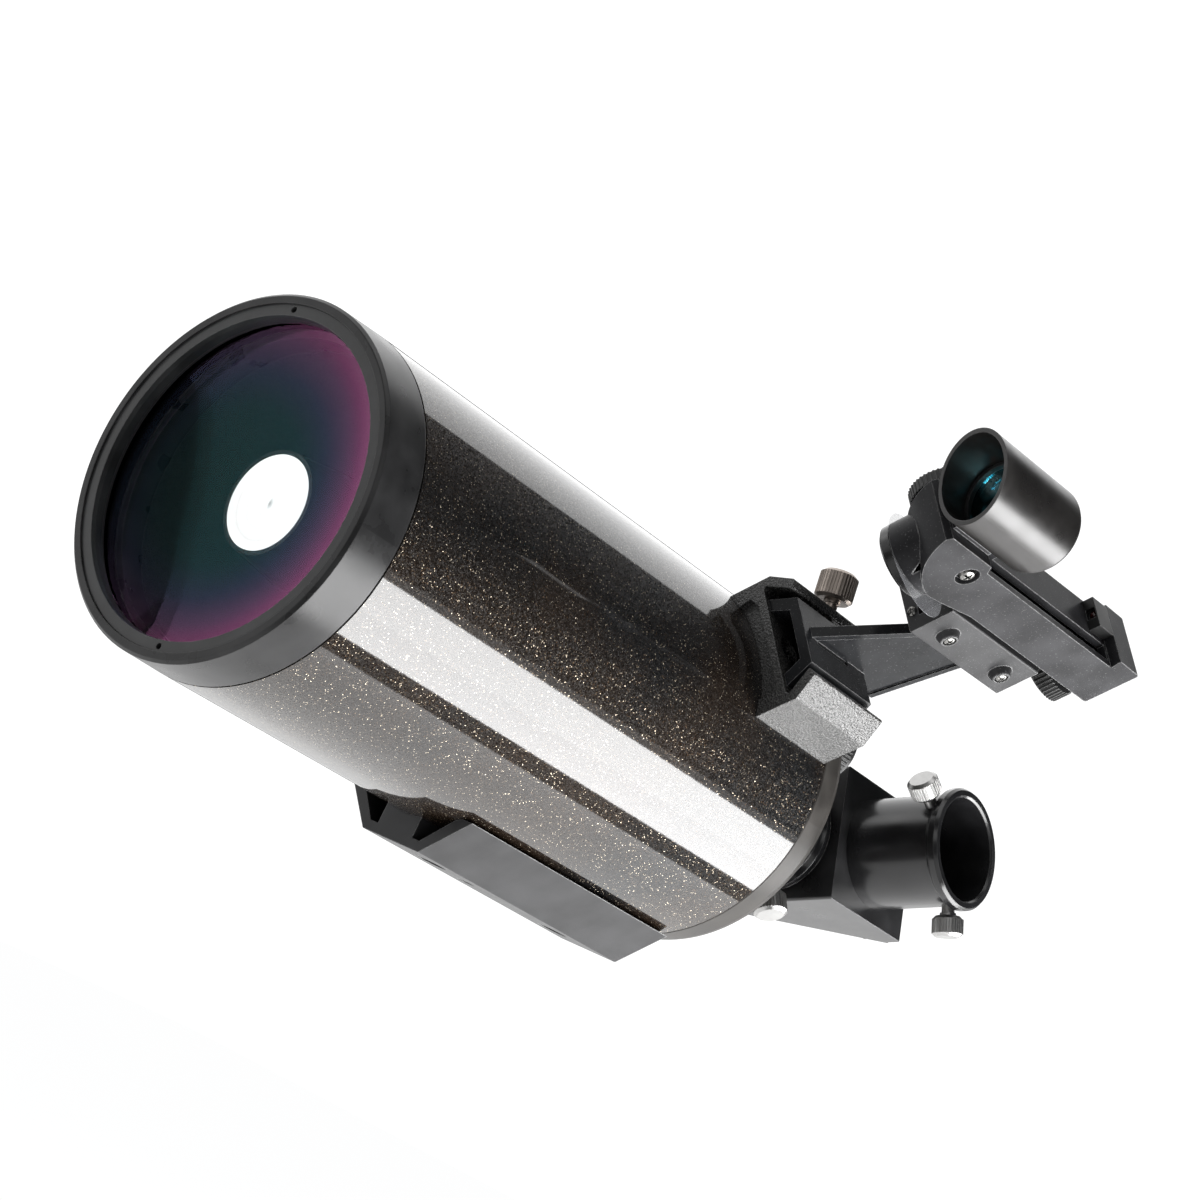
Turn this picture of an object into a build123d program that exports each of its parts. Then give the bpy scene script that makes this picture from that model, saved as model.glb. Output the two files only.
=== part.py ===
from build123d import *
import os
from math import cos, radians, sin, sqrt

# A 90 mm catadioptric telescope tube with its star diagonal and red-dot finder, in mm.
# The origin is the centre of the mounting block's flat underside, +Z is up, and the
# telescope points along -Y, so +X is on the right for someone facing its front.

# ---------------------------------------------------------------- driving dimensions

axis_height = 60.5          # optical axis above the mounting face
tube_radius = 51.75
tube_wall = 1.5
tube_bore = tube_radius - tube_wall

front_rim = -163.9          # stations along the tube, by their y
front_seam = -148.0
rear_seam = 49.75
rear_edge = 61.1

clear_aperture = 45.0       # radius of the free opening
corrector_radius = 47.5
corrector_thickness = 9.0
corrector_front_curve = 148.0
corrector_back_curve = 152.0
spot_radius = 14.0

mirror_radius = 46.5
mirror_curve = 420.0
mirror_vertex = 19.0
mirror_back = 31.0
mirror_travel = 4.0         # each way along the tube
sleeve_radius = 12.0        # outside of the baffle tube that the mirror carrier slides on
hub_radius = 13.5

focus_x, focus_z = 21.0, 27.0   # focusing screw, from the optical axis
focus_screw_radius = 3.0
knob_radius = 12.0

eyepiece_bore = 15.93       # takes a 1 1/4 inch (31.75 mm) barrel
barrel_radius = 15.87
output_angle = 21.6         # the diagonal's eyepiece axis, above +X
output_y = 130.4
output_reach = 54.2         # optical axis to the eyepiece holder's rim
holder_radius, holder_rim = 17.3, 18.93
box_half = 21.7
clamp_screw_radius = 2.0
clamp_head_radius = 5.3

block_front, block_rear = -49.05, 48.95
block_bottom_half, block_top_half, block_flare = 11.4, 24.8, 13.2
block_screw_stations = (-30.0, 30.0)
block_screw_radius = 2.5
socket_station = -13.0      # 1/4 inch tripod socket, nearer the tube's balance point

shoe_angle = 42.5           # the finder's shoe, round the tube above +X
shoe_front, shoe_rear = 10.9, 48.8
shoe_floor = 58.2           # distance from the optical axis
shoe_screw_stations = (19.0, 37.5)
shoe_screw_radius = 2.0

finder_tilt = 1.6           # the finder's own line, nose down against the tube
pivot_y, pivot_out = 9.6, 120.1
finder_half = 10.0
hood_radius = 13.2
hood_lift = 20.0            # hood's axis above the altitude pivot
running = 0.05              # radial clearance of every turning or sliding fit

# ------------------------------------------------------------------ frames and helpers

tube = Plane(origin=(0, 0, axis_height), x_dir=(1, 0, 0), z_dir=(0, 0, 1))
optical = Plane(origin=(0, 0, axis_height), x_dir=(1, 0, 0), z_dir=(0, 1, 0))
focus = Plane(origin=(focus_x, 0, axis_height + focus_z), x_dir=(1, 0, 0), z_dir=(0, 1, 0))


def radial(angle, y=0.0):
    """Frame on the optical axis: x round the tube, y along it, z straight out at an angle."""
    out = (cos(radians(angle)), 0, sin(radians(angle)))
    around = (sin(radians(angle)), 0, -cos(radians(angle)))
    return Plane(origin=(0, y, axis_height), x_dir=around, z_dir=out)


def side(frame, x):
    """Sketch plane across x: its own x runs along the frame's y, its own y along z."""
    return Plane(origin=frame.from_local_coords((x, 0, 0)), x_dir=frame.y_dir, z_dir=frame.x_dir)


def front(frame, y):
    """Sketch plane facing -y: its own x and y run along the frame's x and z."""
    return Plane(origin=frame.from_local_coords((0, y, 0)), x_dir=frame.x_dir, z_dir=-frame.y_dir)


def facing(frame, at, normal):
    """Plane at a point of the frame that faces along a direction given in the frame."""
    point = frame.from_local_coords(at)
    ahead = frame.x_dir * normal[0] + frame.y_dir * normal[1] + frame.z_dir * normal[2]
    across = frame.x_dir if abs(normal[0]) < 0.5 else frame.y_dir
    return Plane(origin=point, x_dir=across, z_dir=ahead)


def outline(plane, *points):
    """Face with straight edges through the points."""
    with BuildSketch(plane) as sketch:
        with BuildLine():
            Polyline(*points, close=True)
        make_face()
    return sketch.sketch


def disc(plane, radius, x=0.0, y=0.0):
    with BuildSketch(plane) as sketch:
        with Locations((x, y)):
            Circle(radius)
    return sketch.sketch


def block(plane, x_range, y_range):
    """Rectangle between two x and two y values of the plane."""
    (x0, x1), (y0, y1) = x_range, y_range
    return outline(plane, (x0, y0), (x1, y0), (x1, y1), (x0, y1))


def turned(base, *points, mode=Mode.ADD):
    """Turn an outline of (height, radius) points about the base plane's normal."""
    section = Plane(origin=base.origin, x_dir=base.z_dir, z_dir=base.y_dir)
    revolve(outline(section, *points), axis=Axis(base.origin, base.z_dir), mode=mode)


def ribbed(plane, radius, ribs, depth, bore=0.0):
    """Circle with round-bottomed grooves cut all round it, and a plain hole if it has a bore."""
    with BuildSketch(plane) as sketch:
        Circle(radius)
        with PolarLocations(radius + depth * 0.35, ribs):
            Circle(depth * 1.35, mode=Mode.SUBTRACT)
        if bore:
            Circle(bore, mode=Mode.SUBTRACT)
    return sketch.sketch


def pan_screw(seat, shank, length, head, height):
    """Cross-slotted pan-head screw, seated on a plane that faces out of its head."""
    turned(seat, (-length, 0), (-length, shank), (0, shank), (0, head), (height * 0.4, head),
           (height * 0.8, head * 0.78), (height, head * 0.4), (height, 0))
    top = seat.offset(height)
    slot = head * 0.12
    for along, across in ((head * 0.6, slot), (slot, head * 0.6)):
        extrude(block(top, (-along, along), (-across, across)), amount=-height * 0.55,
                mode=Mode.SUBTRACT)


def thumbscrew(base, tip, neck, head_start, head_end, shank=clamp_screw_radius,
               head=clamp_head_radius):
    """Chromed clamping screw along the base plane's normal, from its tip to its ribbed head."""
    turned(base, (tip, 0), (tip, shank - 0.6), (tip + 0.6, shank), (neck, shank),
           (neck, shank + 0.5), (head_start, shank + 0.5), (head_start, 0))
    grip = 0.9
    turned(base, (head_start, 0), (head_start, head - 1.0), (head_start + grip, head - 0.15),
           (head_end - grip, head - 0.15), (head_end, head - 1.1), (head_end, 0))
    extrude(ribbed(base.offset(head_start + grip), head, 36, 0.3),
            amount=head_end - head_start - 2 * grip)


def sag(curve, radius):
    """Depth of a spherical surface at a radius."""
    return curve - sqrt(curve ** 2 - radius ** 2)


def sphere_arc(vertex, curve, inner, outer):
    """Arc of a surface that is hollow towards -y, in (y, radius) of the optical section."""
    middle = (inner + outer) / 2
    return [(vertex - sag(curve, radius), radius) for radius in (inner, middle, outer)]


optical_section = Plane(origin=optical.origin, x_dir=(0, 1, 0), z_dir=(1, 0, 0))
optical_axis = Axis(optical.origin, (0, 1, 0))

# ------------------------------------------------------------------- tube and front cell

with BuildPart() as main_tube:
    turned(optical, (front_seam, tube_bore), (front_seam, tube_radius),
           (rear_seam, tube_radius), (rear_seam, tube_bore))
    for angle, stations, radius in ((-90, block_screw_stations, block_screw_radius),
                                    (shoe_angle, shoe_screw_stations, shoe_screw_radius)):
        for station in stations:
            extrude(disc(radial(angle).offset(40), radius, 0, station), amount=16,
                    mode=Mode.SUBTRACT)

ring_seat = front_rim + 0.6
lens_front = -157.8
seal_front = lens_front - 1.5
lens_seat = lens_front + 9.3

with BuildPart() as front_cell:
    turned(optical,
           (front_rim, 48.6), (front_rim, tube_radius - 1.15), (front_rim + 0.9, tube_radius - 0.3),
           (front_seam - 0.7, tube_radius), (front_seam, tube_radius - 0.35),
           (front_seam, tube_bore), (front_seam + 8, tube_bore),
           (front_seam + 8, 45.4), (lens_seat, 45.4), (lens_seat, corrector_radius),
           (seal_front, corrector_radius), (seal_front, 48.6))
    front_edges = front_cell.edges().filter_by(GeomType.CIRCLE).group_by(Axis.Y)[0]
    fillet(front_edges.sort_by(SortBy.RADIUS)[-1], 0.35)

with BuildPart() as lens_retaining_ring:
    turned(optical, (ring_seat, 45.4), (ring_seat, 48.6), (seal_front, 48.6),
           (seal_front, clear_aperture + 0.06), (ring_seat + 1.4, clear_aperture + 0.06))
    with BuildSketch(front(tube, ring_seat)):
        with PolarLocations(47.1, 2, start_angle=97.5):
            Circle(0.9)
    extrude(amount=-2.2, mode=Mode.SUBTRACT)

with BuildPart() as lens_seal:
    turned(optical, (seal_front, 45.5), (seal_front, 47.4), (lens_front - 0.4, 47.4),
           (lens_front, 46.9), (lens_front, 46.0), (lens_front - 0.4, 45.5))

front_vertex = lens_front + sag(corrector_front_curve, 45.5)
back_vertex = front_vertex + corrector_thickness
lens_edge = corrector_radius - 0.1

with BuildPart() as meniscus_corrector:
    front_arc = sphere_arc(front_vertex, corrector_front_curve, 0, 45.5)
    back_arc = sphere_arc(back_vertex, corrector_back_curve, 0, lens_edge)
    with BuildSketch(optical_section):
        with BuildLine():
            ThreePointArc(*front_arc)
            Polyline(front_arc[-1], (lens_front, lens_edge), back_arc[-1])
            ThreePointArc(*back_arc)
            Line(back_arc[0], front_arc[0])
        make_face()
    revolve(axis=optical_axis)

with BuildPart() as secondary_spot:
    inner_arc = sphere_arc(back_vertex, corrector_back_curve, 0, spot_radius)
    outer_arc = sphere_arc(back_vertex + 0.2, corrector_back_curve + 0.2, 0, spot_radius)
    with BuildSketch(optical_section):
        with BuildLine():
            ThreePointArc(*inner_arc)
            Line(inner_arc[-1], outer_arc[-1])
            ThreePointArc(*outer_arc)
            Line(outer_arc[0], inner_arc[0])
        make_face()
    revolve(axis=optical_axis)

baffle_root = back_vertex - sag(corrector_back_curve, spot_radius + 0.3)

with BuildPart() as secondary_baffle:
    turned(optical, (baffle_root, spot_radius + 0.3), (baffle_root + 22, spot_radius + 2.8),
           (baffle_root + 22, spot_radius + 3.8), (baffle_root, spot_radius + 1.3))

# -------------------------------------------------------------------- primary and focuser

with BuildPart() as primary_mirror:
    mirror_arc = sphere_arc(mirror_vertex, mirror_curve, hub_radius, mirror_radius)
    with BuildSketch(optical_section):
        with BuildLine():
            ThreePointArc(*mirror_arc)
            Polyline(mirror_arc[-1], (mirror_back, mirror_radius), (mirror_back, hub_radius),
                     mirror_arc[0])
        make_face()
    revolve(axis=optical_axis)

carrier_front = 13.0
flange_back = mirror_back + 4
nut_radius = 5.5

with BuildPart() as mirror_carrier:
    turned(optical, (carrier_front, sleeve_radius + running), (carrier_front, hub_radius),
           (mirror_back, hub_radius), (mirror_back, 41), (flange_back, 41),
           (flange_back, hub_radius + 2), (flange_back + 2, hub_radius + 2),
           (flange_back + 2, sleeve_radius + running))
    extrude(disc(focus.offset(mirror_back), nut_radius), amount=4, mode=Mode.SUBTRACT)

with BuildPart() as mirror_retaining_nut:
    nut_back = mirror_vertex - sag(mirror_curve, hub_radius + 4.5)
    turned(optical, (nut_back - 4, hub_radius), (nut_back - 4, hub_radius + 3.5),
           (nut_back - 3, hub_radius + 4.5), (nut_back, hub_radius + 4.5), (nut_back, hub_radius))

with BuildPart() as primary_baffle_tube:
    turned(optical, (-72, 8.4), (-72, 9.4), (-14, sleeve_radius), (rear_edge - 6.5, sleeve_radius),
           (rear_edge - 6.5, 20), (rear_edge - 3.5, 20), (rear_edge - 3.5, 10.6))
    with BuildSketch(front(tube, rear_edge - 3.5)):
        with PolarLocations(17, 3, start_angle=30):
            Circle(1.55)
    extrude(amount=3, mode=Mode.SUBTRACT)

with BuildPart() as focus_nut:
    turned(focus, (mirror_back, focus_screw_radius + running), (mirror_back, nut_radius),
           (flange_back, nut_radius), (flange_back, nut_radius + 1.5),
           (flange_back + 11, nut_radius + 1.5), (flange_back + 11, focus_screw_radius + running))

bush_radius = 6.0
knob_front = rear_edge + 4.0
knob_back = knob_front + 18.0

with BuildPart() as focus_bush:
    turned(focus, (rear_edge - 5.5, focus_screw_radius + running), (rear_edge - 5.5, bush_radius),
           (rear_edge, bush_radius), (rear_edge, bush_radius + 2),
           (rear_edge + 2, bush_radius + 2), (rear_edge + 2, focus_screw_radius + running))

with BuildPart() as focus_washer:
    turned(focus, (rear_edge + 2, focus_screw_radius + running), (rear_edge + 2, 6.5),
           (knob_front - 0.1, 6.5), (knob_front - 0.1, focus_screw_radius + running))

with BuildPart() as focus_screw:
    tip = mirror_back + mirror_travel + 0.4
    turned(focus, (tip, 0), (tip, focus_screw_radius), (rear_edge - 8.7, focus_screw_radius),
           (rear_edge - 8.7, 5.2), (rear_edge - 5.7, 5.2), (rear_edge - 5.7, focus_screw_radius),
           (knob_back - 5, focus_screw_radius), (knob_back - 5, 1.55), (knob_back - 12, 1.55),
           (knob_back - 12, 0))

with BuildPart() as focus_knob:
    turned(focus, (knob_front, focus_screw_radius), (knob_front, knob_radius - 2.4),
           (knob_front + 2, knob_radius - 2.4), (knob_front + 3, knob_radius - 0.3),
           (knob_back - 1.2, knob_radius - 0.3), (knob_back, knob_radius - 1.5),
           (knob_back, 4.2), (knob_back - 5, 4.2), (knob_back - 5, focus_screw_radius))
    extrude(ribbed(focus.offset(knob_front + 3), knob_radius, 60, 0.35, bore=9),
            amount=knob_back - knob_front - 5.5)

with BuildPart() as focus_knob_screw:
    pan_screw(focus.offset(knob_back - 5), 1.55, 7, 2.9, 2.4)

with BuildPart() as baffle_screws:
    for angle in (30, 150, 270):
        head = facing(radial(angle), (0, rear_edge - 6.5, 17), (0, -1, 0))
        pan_screw(head, 1.5, 9, 2.8, 1.8)

# ---------------------------------------------------------------------------- rear cell

hub_back = 72.0
neck_back = 80.0
neck_radius = 17.0

with BuildPart() as rear_cell:
    turned(optical,
           (rear_seam - 8, tube_bore), (rear_seam, tube_bore), (rear_seam, tube_radius - 0.35),
           (rear_seam + 0.7, tube_radius), (rear_edge - 2.4, tube_radius - 1.1),
           (rear_edge - 0.5, tube_radius - 1.7), (rear_edge, tube_radius - 2.6),
           (rear_edge, 21.5), (hub_back, 20.5), (hub_back, neck_radius), (neck_back, neck_radius),
           (neck_back, hub_radius), (rear_edge - 3.5, hub_radius), (rear_edge - 3.5, 48.4),
           (rear_seam - 8, 48.4))
    extrude(disc(focus.offset(rear_edge - 4), bush_radius), amount=5, mode=Mode.SUBTRACT)
    for angle in (30, 150, 270):
        hole = facing(radial(angle), (0, rear_edge - 3.5, 17), (0, 1, 0))
        extrude(disc(hole, 1.5), amount=6.5, mode=Mode.SUBTRACT)

# --------------------------------------------------------------------------- visual back

back_rim = 108.0
back_screw_angle = -54.0
back_screw = radial(back_screw_angle, 98.0)

with BuildPart() as visual_back:
    turned(optical, (73, neck_radius), (73, 19.2), (74, 20.2), (85, 20.2), (86, 19.2),
           (88, 17.4), (104.2, 17.4), (104.9, 18.1), (105.6, 18.9), (107.3, 18.9),
           (back_rim, 18.2), (back_rim, eyepiece_bore + 0.6), (back_rim - 0.6, eyepiece_bore),
           (82, eyepiece_bore), (82, hub_radius), (neck_back, hub_radius),
           (neck_back, neck_radius))
    extrude(ribbed(optical.offset(74.5), 20.6, 72, 0.4, bore=19), amount=10)
    extrude(disc(back_screw, clamp_screw_radius + running), amount=25, mode=Mode.SUBTRACT)

with BuildPart() as visual_back_thumbscrew:
    thumbscrew(back_screw, barrel_radius + 0.05, 22.5, 24.0, 31.2)

# ------------------------------------------------------------------------- star diagonal

diagonal = radial(output_angle, output_y)
output = facing(diagonal, (0, 0, 0), (0, 0, 1))
box_front = -box_half
cover_offset = 4.0 * sqrt(2)    # slanted outside face: y = z + cover_offset in the side view
cover_thickness = 1.4
inner_offset = cover_offset - cover_thickness * sqrt(2)

with BuildPart() as diagonal_housing:
    corner = box_half - 1.0
    extrude(outline(side(diagonal, -box_half),
                    (box_front, box_half), (corner, box_half), (corner + 0.4, box_half - 0.6),
                    (corner + 0.4, corner + 0.4 - inner_offset),
                    (box_front + inner_offset - 1.0, box_front - 1.0),
                    (box_front, box_front - 1.0)), amount=2 * box_half)
    extrude(outline(side(diagonal, 3 - box_half),
                    (box_front + 3, box_half - 3), (corner - 2.6, box_half - 3),
                    (corner + 3, corner + 3 - inner_offset),
                    (box_front + 3, box_front + 3 - inner_offset)),
            amount=2 * box_half - 6, mode=Mode.SUBTRACT)
    extrude(disc(facing(diagonal, (0, box_front, 0), (0, 1, 0)), 14.2), amount=6,
            mode=Mode.SUBTRACT)
    extrude(disc(output.offset(box_half), 14.2), amount=-6, mode=Mode.SUBTRACT)
    long_edges = diagonal_housing.edges().filter_by(
        lambda edge: edge.length > 30 and edge.geom_type == GeomType.LINE)
    front_long = long_edges.filter_by(
        lambda edge: diagonal.to_local_coords(edge.center()).Y < box_front + 0.01
        and abs(abs(diagonal.to_local_coords(edge.center()).X) - box_half) < 0.01)
    fillet(front_long, 1.0)

mirror_tilt = Plane(origin=diagonal.origin, x_dir=diagonal.x_dir,
                    z_dir=diagonal.y_dir - diagonal.z_dir)
cover_face = 4.0
mirror_half = 17.5

with BuildPart() as diagonal_cover:
    extrude(block(mirror_tilt.offset(cover_face - cover_thickness),
                  (-box_half, box_half), (-27.3, 25.6)), amount=cover_thickness)
    outside = diagonal_cover.faces().sort_by(Axis(mirror_tilt.origin, mirror_tilt.z_dir))[-1]
    chamfer(outside.edges(), 0.4)
    for across in (-1, 1):
        for along in (-1, 1):
            spot = mirror_tilt.offset(cover_face - cover_thickness)
            extrude(disc(spot, 1.2, across * (box_half - 1.6), along * 20), amount=2,
                    mode=Mode.SUBTRACT)

with BuildPart() as diagonal_mirror:
    extrude(block(mirror_tilt, (-mirror_half, mirror_half), (-22, 22)),
            amount=cover_face - cover_thickness)

with BuildPart() as diagonal_cover_screws:
    for across in (-1, 1):
        for along in (-1, 1):
            seat = Plane(origin=mirror_tilt.from_local_coords(
                (across * (box_half - 1.6), along * 20, cover_face)),
                x_dir=mirror_tilt.x_dir, z_dir=mirror_tilt.z_dir)
            turned(seat, (-cover_thickness, 0), (-cover_thickness, 1.2), (0, 1.2),
                   (0, 1.5), (0.6, 1.5), (0.9, 1.0), (0.9, 0))

with BuildPart() as diagonal_nosepiece:
    start = output_y + box_front
    turned(optical, (84, 13.6), (84, barrel_radius - 0.6), (84.6, barrel_radius),
           (95, barrel_radius), (95, barrel_radius - 0.4), (101, barrel_radius - 0.4),
           (101, barrel_radius), (start - 0.1, barrel_radius), (start - 0.1, 18.2),
           (start, 18.2), (start, 14.2), (start + 2.8, 14.2), (start + 2.8, 13.6))

holder_root = box_half
screw_reach = 48.4

with BuildPart() as eyepiece_holder:
    turned(output, (holder_root, 14.2), (holder_root, holder_radius), (49.6, holder_radius),
           (50.4, 18.0), (51.2, holder_rim), (53.2, holder_rim),
           (output_reach, 18.2), (output_reach, eyepiece_bore + 0.6),
           (output_reach - 0.6, eyepiece_bore), (holder_root + 2.2, eyepiece_bore),
           (holder_root + 2.2, 14.2))
    for angle in (-125, 10):
        clamp = facing(diagonal, (0, 0, screw_reach), (cos(radians(angle)), sin(radians(angle)), 0))
        extrude(disc(clamp, clamp_screw_radius + running), amount=22, mode=Mode.SUBTRACT)

eyepiece_thumbscrews = {}
for side_name, angle in (("upper", -125), ("lower", 10)):
    clamp = facing(diagonal, (0, 0, screw_reach), (cos(radians(angle)), sin(radians(angle)), 0))
    with BuildPart() as screw:
        thumbscrew(clamp, eyepiece_bore + 0.4, 19.6, 20.6, 27.0, head=4.9)
    eyepiece_thumbscrews[f"eyepiece_thumbscrew_{side_name}"] = screw

# ------------------------------------------------------------------------ mounting block

tube_surface = disc(optical.offset(-80), tube_radius)
block_wall = 3.0
pedestal_half = 7.0
socket_radius, socket_depth = 2.6, 7.2      # for a 1/4 inch tripod screw
head_depth = 3.4


def block_trough(plane, inset):
    """Half-hexagon section of the block, drawn in from its floor and its slanted sides."""
    floor, slant = inset, inset * 0.45
    return outline(plane, (-block_bottom_half + slant, floor), (block_bottom_half - slant, floor),
                   (block_top_half - inset * 1.3, block_flare + slant),
                   (-block_top_half + inset * 1.3, block_flare + slant))


with BuildPart() as dovetail_block:
    block_start = front(Plane.XY, block_rear)
    block_length = block_rear - block_front
    extrude(block_trough(block_start, 0), amount=block_length)
    extrude(block_trough(block_start, block_wall), amount=block_length, mode=Mode.SUBTRACT)
    extrude(block(block_start, (-pedestal_half, pedestal_half), (0, block_flare)),
            amount=block_length)
    for station in (-24, 28):
        extrude(outline(front(Plane.XY, station), (-block_bottom_half, 1), (block_bottom_half, 1),
                        (block_top_half - 4, 11), (4 - block_top_half, 11)), amount=4)
    extrude(tube_surface, amount=160, mode=Mode.SUBTRACT)
    fillet(dovetail_block.edges().filter_by(Axis.Y).group_by(Axis.Z)[0], 0.8)
    extrude(disc(Plane.XY, socket_radius, 0, socket_station), amount=socket_depth,
            mode=Mode.SUBTRACT)
    for station in block_screw_stations:
        extrude(disc(Plane.XY, block_screw_radius, 0, station), amount=12, mode=Mode.SUBTRACT)
        extrude(disc(Plane.XY, 4.8, 0, station), amount=head_depth, mode=Mode.SUBTRACT)

with BuildPart() as dovetail_screws:
    for station in block_screw_stations:
        seat = Plane(origin=(0, station, head_depth), x_dir=(1, 0, 0), z_dir=(0, 0, -1))
        pan_screw(seat, block_screw_radius, 9.8, 4.4, 2.8)

# --------------------------------------------------------------------------- finder shoe

shoe = radial(shoe_angle)
lip_root, lip_tip = (20.8, 61.0), (16.0, 68.65)
lip_wall = 3.0
lip_run, lip_rise = lip_tip[0] - lip_root[0], lip_tip[1] - lip_root[1]
lip_length = sqrt(lip_run ** 2 + lip_rise ** 2)
inward = (-lip_rise / lip_length, lip_run / lip_length)
shoe_thumb_station = 36.9
shoe_head_level = shoe_floor - 3.2

with BuildPart() as finder_shoe:
    lip_inner = (lip_root[0] + inward[0] * lip_wall, shoe_floor + 0.9)
    half_section = [(20.6, 45.5), lip_root, lip_tip,
                    (lip_tip[0] + inward[0] * lip_wall, lip_tip[1] + inward[1] * lip_wall),
                    lip_inner, (lip_inner[0] - 0.9, shoe_floor)]
    mirrored = [(-x, z) for x, z in reversed(half_section)]
    extrude(outline(front(shoe, shoe_rear), *half_section, *mirrored),
            amount=shoe_rear - shoe_front)
    extrude(outline(front(shoe, shoe_front + 1.5), (-15, 45), (-16.5, 53.5), (-13, 55.5),
                    (13, 55.5), (16.5, 53.5), (15, 45)), amount=6.5, mode=Mode.SUBTRACT)
    extrude(tube_surface, amount=160, mode=Mode.SUBTRACT)
    tips = finder_shoe.edges().filter_by(Axis.Y).filter_by(
        lambda edge: shoe.to_local_coords(edge.center()).Z > 64)
    fillet(tips, 0.7)
    shoe_clamp = facing(shoe, (-(lip_root[0] + lip_tip[0]) / 2, shoe_thumb_station,
                               (lip_root[1] + lip_tip[1]) / 2), (inward[0], 0, -inward[1]))
    extrude(disc(shoe_clamp.offset(-6), clamp_screw_radius + running), amount=12,
            mode=Mode.SUBTRACT)
    for station in shoe_screw_stations:
        extrude(disc(shoe.offset(50), shoe_screw_radius, 0, station), amount=10,
                mode=Mode.SUBTRACT)
        extrude(disc(shoe.offset(shoe_head_level), 4.2, 0, station), amount=5,
                mode=Mode.SUBTRACT)

with BuildPart() as shoe_screws:
    for station in shoe_screw_stations:
        seat = facing(shoe, (0, station, shoe_head_level), (0, 0, 1))
        pan_screw(seat, shoe_screw_radius, 7.4, 3.9, 2.4)

with BuildPart() as mounting_nuts:
    for angle, stations, radius in ((-90, block_screw_stations, block_screw_radius),
                                    (shoe_angle, shoe_screw_stations, shoe_screw_radius)):
        for station in stations:
            seat = facing(radial(angle), (0, station, tube_bore - radius * 0.08), (0, 0, -1))
            with BuildSketch(seat) as nut:
                RegularPolygon(radius * 1.9, 6)
                Circle(radius, mode=Mode.SUBTRACT)
            extrude(nut.sketch, amount=radius * 1.1)

with BuildPart() as shoe_thumbscrew:
    thumbscrew(shoe_clamp, -5.6, 2.6, 3.4, 12.2, head=5.8)

# --------------------------------------------------------------- finder bracket and cradle

foot_front, foot_rear = 12.5, 46.0
foot_top = 67.4
foot_half, foot_top_half = 14.7, 11.0
arm_middle, arm_half, rim_half = -0.8, 1.1, 1.7

pivot = Plane(origin=shoe.from_local_coords((0, pivot_y, pivot_out)), x_dir=shoe.x_dir,
              z_dir=shoe.z_dir * cos(radians(finder_tilt)) - shoe.y_dir * sin(radians(finder_tilt)))
pivot_radius = 1.5
cradle_front, cradle_rear = 11.9, 60.6      # along the finder, from the altitude pivot
cradle_low, cradle_high = -26.0, -11.6
cradle_wall, cradle_floor = 2.6, 1.8
head_half = finder_half - cradle_wall
head_top = -12.0
cradle_screw_points = ((21.7, -19.3), (51.0, -19.2))
cradle_screw_radius = 1.3
boss_radius, boss_top, boss_height, boss_sink = 3.6, 2.7, 2.2, 1.1
azimuth_station = 40.0
azimuth_pin_radius = 2.5
azimuth_screw = (16.3, -17.5)
azimuth_shaft_radius = 1.3
swivel = facing(pivot, (0, azimuth_station, 0), (0, 0, 1))


def slab(frame, x_range, *points, mode=Mode.ADD):
    """Plate between two x values of a frame, with a side outline of (y, z) points."""
    extrude(outline(side(frame, x_range[0]), *points), amount=x_range[1] - x_range[0], mode=mode)


def box(frame, x_range, y_range, z_range, mode=Mode.ADD):
    (y0, y1), (z0, z1) = y_range, z_range
    slab(frame, x_range, (y0, z0), (y1, z0), (y1, z1), (y0, z1), mode=mode)


def arm_outline(inset=0.0, top=97.0):
    """Side outline of the bracket's arm, drawn in by an inset along its two sloping edges."""
    root = foot_top - 0.4
    front_slope, rear_slope = 0.953, 0.22
    return ((15.9 + inset * 1.4, root), (15.9 + inset * 1.4 + front_slope * (top - root), top),
            (58.4 - inset + rear_slope * (top - 62.5), top), (58.4 - inset, 62.5),
            (foot_rear - 1, 62.5), (foot_rear - 1, root))


with BuildPart() as finder_bracket:
    extrude(outline(front(shoe, foot_rear), (-foot_half, shoe_floor), (foot_half, shoe_floor),
                    (foot_top_half, foot_top), (-foot_top_half, foot_top)),
            amount=foot_rear - foot_front)
    extrude(outline(front(shoe, foot_front + 22), (-11.3, shoe_floor - 1), (11.3, shoe_floor - 1),
                    (8.3, foot_top - 3.3), (-8.3, foot_top - 3.3)), amount=30, mode=Mode.SUBTRACT)
    slab(shoe, (arm_middle - rim_half, arm_middle + rim_half), *arm_outline())
    for panel in ((arm_middle + arm_half, arm_middle + 3), (arm_middle - 3, arm_middle - arm_half)):
        slab(shoe, panel, *arm_outline(2.0), mode=Mode.SUBTRACT)
    box(shoe, (-foot_top_half, foot_top_half), (foot_front + 24, foot_rear),
        (foot_top - 5.5, foot_top))
    box(pivot, (-head_half, head_half), (19.4, cradle_rear - cradle_wall),
        (cradle_low + cradle_floor, head_top))
    for station, level in cradle_screw_points:
        hole = facing(pivot, (finder_half, station, level), (-1, 0, 0))
        extrude(disc(hole, cradle_screw_radius), amount=finder_half + 4, mode=Mode.SUBTRACT)
    extrude(disc(swivel.offset(-22), azimuth_pin_radius), amount=20, mode=Mode.SUBTRACT)

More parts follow.
